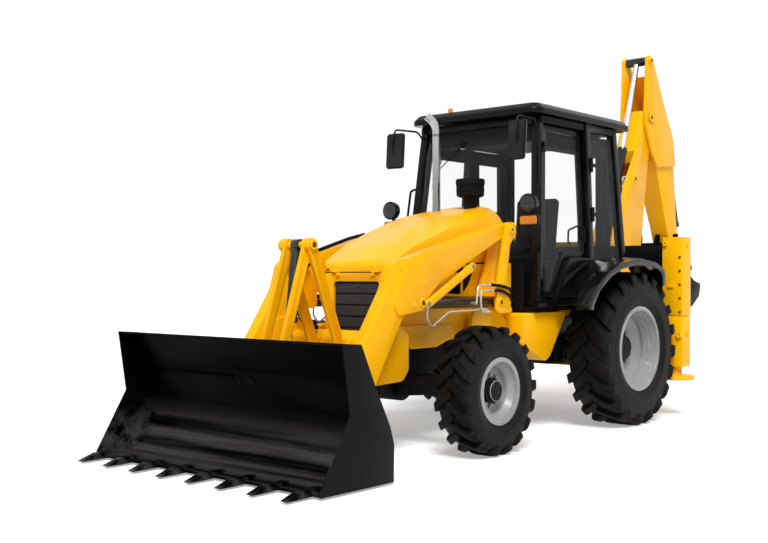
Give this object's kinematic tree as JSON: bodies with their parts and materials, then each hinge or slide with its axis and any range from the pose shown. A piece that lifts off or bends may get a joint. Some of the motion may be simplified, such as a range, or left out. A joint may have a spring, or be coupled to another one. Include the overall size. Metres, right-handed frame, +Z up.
{
  "type": "backhoe loader",
  "caption": "Wheeled backhoe loader with a toothed front bucket on two arms, a cab on posts and a rear digging arm on a side-shift frame.",
  "frame": {"origin": "on the floor under the middle of the machine's length and width", "axes": "+X to the machine's left, +Y to its rear, +Z up; the front bucket points along -Y"},
  "size_m": [2.42, 7.552, 3.7709],
  "materials": {
    "yellow_paint": "gloss",
    "black_paint": "satin",
    "dark_iron": "rough",
    "grille_grey": "matte",
    "fender_plastic": "matte",
    "silver_paint": "satin",
    "tyre_rubber": "matte",
    "rod_chrome": "polished",
    "steel_tube": "satin",
    "clear_glass": "clear",
    "seat_cloth": "matte"
  },
  "bodies": {
    "machine": {"chassis_frame": "yellow_paint", "loader_towers": "yellow_paint", "steps": "black_paint", "engine": "dark_iron", "nose_panels": "yellow_paint", "grille": "grille_grey", "front_axle": "dark_iron", "rear_axle": "dark_iron", "cab_frame": "black_paint", "cab_roof": "black_paint", "cab_floor": "fender_plastic", "cab_glass": "clear_glass", "seat_base": "black_paint", "seat": "seat_cloth", "fenders": "fender_plastic", "side_tanks_steps": "yellow_paint", "mirrors_lamps": "black_paint", "hoe_frame": "yellow_paint", "stabiliser_sleeves": "yellow_paint"},
    "knuckle_left": {"knuckle_left": "dark_iron"},
    "knuckle_right": {"knuckle_right": "dark_iron"},
    "front_wheel_left": {"front_tyre_left": "tyre_rubber", "front_rim_left": "silver_paint"},
    "front_wheel_right": {"front_tyre_right": "tyre_rubber", "front_rim_right": "silver_paint"},
    "rear_wheel_left": {"rear_tyre_left": "tyre_rubber", "rear_rim_left": "silver_paint"},
    "rear_wheel_right": {"rear_tyre_right": "tyre_rubber", "rear_rim_right": "silver_paint"},
    "loader_arms": {"loader_arms": "yellow_paint", "safety_strut": "yellow_paint"},
    "lift_barrels": {"lift_barrels": "black_paint"},
    "lift_rods": {"lift_rods": "rod_chrome"},
    "loader_bucket": {"loader_bucket": "black_paint"},
    "tilt_lever": {"tilt_lever": "yellow_paint"},
    "tilt_link": {"tilt_link": "yellow_paint"},
    "tilt_barrel": {"tilt_barrel": "black_paint"},
    "tilt_rod": {"tilt_rod": "rod_chrome"},
    "hood": {"hood": "yellow_paint", "hood_fittings": "steel_tube"},
    "door_left": {"door_left": "black_paint", "door_glass_left": "clear_glass"},
    "door_right": {"door_right": "black_paint", "door_glass_right": "clear_glass"},
    "sideshift_carriage": {"sideshift_carriage": "yellow_paint"},
    "kingpost": {"kingpost": "yellow_paint"},
    "hoe_boom": {"hoe_boom": "yellow_paint"},
    "boom_barrel": {"boom_barrel": "black_paint"},
    "boom_rod": {"boom_rod": "rod_chrome"},
    "hoe_dipper": {"hoe_dipper": "yellow_paint"},
    "dipper_barrel": {"dipper_barrel": "black_paint"},
    "dipper_rod": {"dipper_rod": "rod_chrome"},
    "hoe_tip_lever": {"hoe_tip_lever": "black_paint"},
    "hoe_tip_link": {"hoe_tip_link": "black_paint"},
    "crowd_barrel": {"crowd_barrel": "black_paint"},
    "crowd_rod": {"crowd_rod": "rod_chrome"},
    "hoe_bucket": {"hoe_bucket": "black_paint"},
    "stabiliser_leg_left": {"stabiliser_leg_left": "yellow_paint"},
    "stabiliser_leg_right": {"stabiliser_leg_right": "yellow_paint"}
  },
  "joints": [
    {"name": "steer_left", "type": "hinge", "parent": "machine", "child": "knuckle_left", "pos_m": [0.745, -1.57, 0.484], "axis": [0, 0, 1], "range_deg": [-30, 30]},
    {"name": "front_wheel_left_spin", "type": "hinge", "parent": "knuckle_left", "child": "front_wheel_left", "pos_m": [0.937, -1.57, 0.484], "axis": [1, 0, 0], "continuous": true},
    {"name": "rear_wheel_left_spin", "type": "hinge", "parent": "machine", "child": "rear_wheel_left", "pos_m": [0.9, 0.61, 0.69], "axis": [1, 0, 0], "continuous": true},
    {"name": "steer_right", "type": "hinge", "parent": "machine", "child": "knuckle_right", "pos_m": [-0.745, -1.57, 0.484], "axis": [0, 0, 1], "range_deg": [-30, 30]},
    {"name": "front_wheel_right_spin", "type": "hinge", "parent": "knuckle_right", "child": "front_wheel_right", "pos_m": [-0.937, -1.57, 0.484], "axis": [1, 0, 0], "continuous": true},
    {"name": "rear_wheel_right_spin", "type": "hinge", "parent": "machine", "child": "rear_wheel_right", "pos_m": [-0.9, 0.61, 0.69], "axis": [1, 0, 0], "continuous": true},
    {"name": "arms_lift", "type": "hinge", "parent": "machine", "child": "loader_arms", "pos_m": [0, -0.81, 1.724], "axis": [-1, 0, 0], "range_deg": [0, 79]},
    {"name": "lift_barrel_pivot", "type": "hinge", "parent": "machine", "child": "lift_barrels", "pos_m": [0, -0.963, 1.131], "axis": [-1, 0, 0], "range_deg": [0, 71]},
    {"name": "lift_rod_slide", "type": "slide", "parent": "lift_barrels", "child": "lift_rods", "axis": [0, -0.9999, 0.0101], "range_m": [0, 0.7809]},
    {"name": "bucket_tilt", "type": "hinge", "parent": "loader_arms", "child": "loader_bucket", "pos_m": [0, -2.805, 0.265], "axis": [1, 0, 0], "range_deg": [-32, 90]},
    {"name": "tilt_lever_pivot", "type": "hinge", "parent": "loader_arms", "child": "tilt_lever", "pos_m": [0, -2.305, 0.76], "axis": [1, 0, 0], "range_deg": [-16.1, 44.1]},
    {"name": "tilt_link_pivot", "type": "hinge", "parent": "tilt_lever", "child": "tilt_link", "pos_m": [0, -2.63, 1.568], "axis": [1, 0, 0], "range_deg": [-33.6, 12.3]},
    {"name": "tilt_barrel_pivot", "type": "hinge", "parent": "tilt_lever", "child": "tilt_barrel", "pos_m": [0, -2.63, 1.568], "axis": [1, 0, 0], "range_deg": [-6.6, 2.7]},
    {"name": "tilt_rod_slide", "type": "slide", "parent": "tilt_barrel", "child": "tilt_rod", "axis": [0, -0.1281, -0.9918], "range_m": [-0.3465, 0.1245]},
    {"name": "hood_hinge", "type": "hinge", "parent": "machine", "child": "hood", "pos_m": [0, -2.007, 1.374], "axis": [-1, 0, 0], "range_deg": [-55, 0]},
    {"name": "door_left_hinge", "type": "hinge", "parent": "machine", "child": "door_left", "pos_m": [0.74236, -0.46164, 1.14], "axis": [0.0602, -0.1053, -0.9926], "range_deg": [0, 85]},
    {"name": "door_right_hinge", "type": "hinge", "parent": "machine", "child": "door_right", "pos_m": [-0.74236, -0.46164, 1.14], "axis": [0.0602, 0.1053, 0.9926], "range_deg": [0, 85]},
    {"name": "sideshift", "type": "slide", "parent": "machine", "child": "sideshift_carriage", "axis": [1, 0, 0], "range_m": [-0.55, 0.55]},
    {"name": "boom_swing", "type": "hinge", "parent": "sideshift_carriage", "child": "kingpost", "pos_m": [0, 1.82, 1], "axis": [0, 0, 1], "range_deg": [-90, 90]},
    {"name": "boom_lower", "type": "hinge", "parent": "kingpost", "child": "hoe_boom", "pos_m": [0, 2.06, 0.88], "axis": [-1, 0, 0], "range_deg": [0, 105]},
    {"name": "boom_barrel_pivot", "type": "hinge", "parent": "kingpost", "child": "boom_barrel", "pos_m": [0, 2.003, 1.077], "axis": [-1, 0, 0], "range_deg": [0, 111]},
    {"name": "boom_rod_slide", "type": "slide", "parent": "boom_barrel", "child": "boom_rod", "axis": [0, 0.265, 0.9642], "range_m": [0, 0.3253]},
    {"name": "dipper_open", "type": "hinge", "parent": "hoe_boom", "child": "hoe_dipper", "pos_m": [0, 2.659, 3.088], "axis": [1, 0, 0], "range_deg": [0, 95]},
    {"name": "dipper_barrel_pivot", "type": "hinge", "parent": "hoe_boom", "child": "dipper_barrel", "pos_m": [0, 1.96, 1.715], "axis": [1, 0, 0], "range_deg": [-0.5, 20.9]},
    {"name": "dipper_rod_slide", "type": "slide", "parent": "dipper_barrel", "child": "dipper_rod", "axis": [0, 0.3282, 0.9446], "range_m": [-0.7243, 0.002]},
    {"name": "hoe_bucket_dump", "type": "hinge", "parent": "hoe_dipper", "child": "hoe_bucket", "pos_m": [0, 3.56, 1.19], "axis": [1, 0, 0], "range_deg": [0, 130]},
    {"name": "hoe_tip_lever_pivot", "type": "hinge", "parent": "hoe_dipper", "child": "hoe_tip_lever", "pos_m": [0, 3.45, 1.54], "axis": [1, 0, 0], "range_deg": [-0.5, 89.4]},
    {"name": "hoe_tip_link_pivot", "type": "hinge", "parent": "hoe_tip_lever", "child": "hoe_tip_link", "pos_m": [0, 3.74, 1.44], "axis": [1, 0, 0], "range_deg": [-70.1, 0.5]},
    {"name": "crowd_barrel_pivot", "type": "hinge", "parent": "hoe_dipper", "child": "crowd_barrel", "pos_m": [0, 3.32, 2.85], "axis": [1, 0, 0], "range_deg": [-0.5, 1.5]},
    {"name": "crowd_rod_slide", "type": "slide", "parent": "crowd_barrel", "child": "crowd_rod", "axis": [0, 0.2855, -0.9584], "range_m": [-0.4429, 0.002]},
    {"name": "stabiliser_leg_left_slide", "type": "slide", "parent": "machine", "child": "stabiliser_leg_left", "axis": [0, 0, -1], "range_m": [0, 0.5]},
    {"name": "stabiliser_leg_right_slide", "type": "slide", "parent": "machine", "child": "stabiliser_leg_right", "axis": [0, 0, -1], "range_m": [0, 0.5]}
  ],
  "couplings": [
    {"joint": "steer_right", "follows": "steer_left", "ratio": 1},
    {"joint": "lift_barrel_pivot", "follows": "arms_lift", "ratio": 0.8942},
    {"joint": "lift_rod_slide", "follows": "arms_lift", "m_per_rad": 0.5649},
    {"joint": "tilt_lever_pivot", "follows": "bucket_tilt", "ratio": 0.4844},
    {"joint": "tilt_link_pivot", "follows": "bucket_tilt", "ratio": -0.3672},
    {"joint": "tilt_barrel_pivot", "follows": "bucket_tilt", "ratio": -0.0675},
    {"joint": "tilt_rod_slide", "follows": "bucket_tilt", "m_per_rad": -0.2193},
    {"joint": "boom_barrel_pivot", "follows": "boom_lower", "ratio": 1.0483},
    {"joint": "boom_rod_slide", "follows": "boom_lower", "m_per_rad": 0.1764},
    {"joint": "dipper_barrel_pivot", "follows": "dipper_open", "ratio": 0.2145},
    {"joint": "dipper_rod_slide", "follows": "dipper_open", "m_per_rad": -0.4356},
    {"joint": "hoe_tip_lever_pivot", "follows": "hoe_bucket_dump", "ratio": 0.6831},
    {"joint": "hoe_tip_link_pivot", "follows": "hoe_bucket_dump", "ratio": -0.535},
    {"joint": "crowd_barrel_pivot", "follows": "hoe_bucket_dump", "ratio": 0.0072},
    {"joint": "crowd_rod_slide", "follows": "hoe_bucket_dump", "m_per_rad": -0.1943}
  ]
}
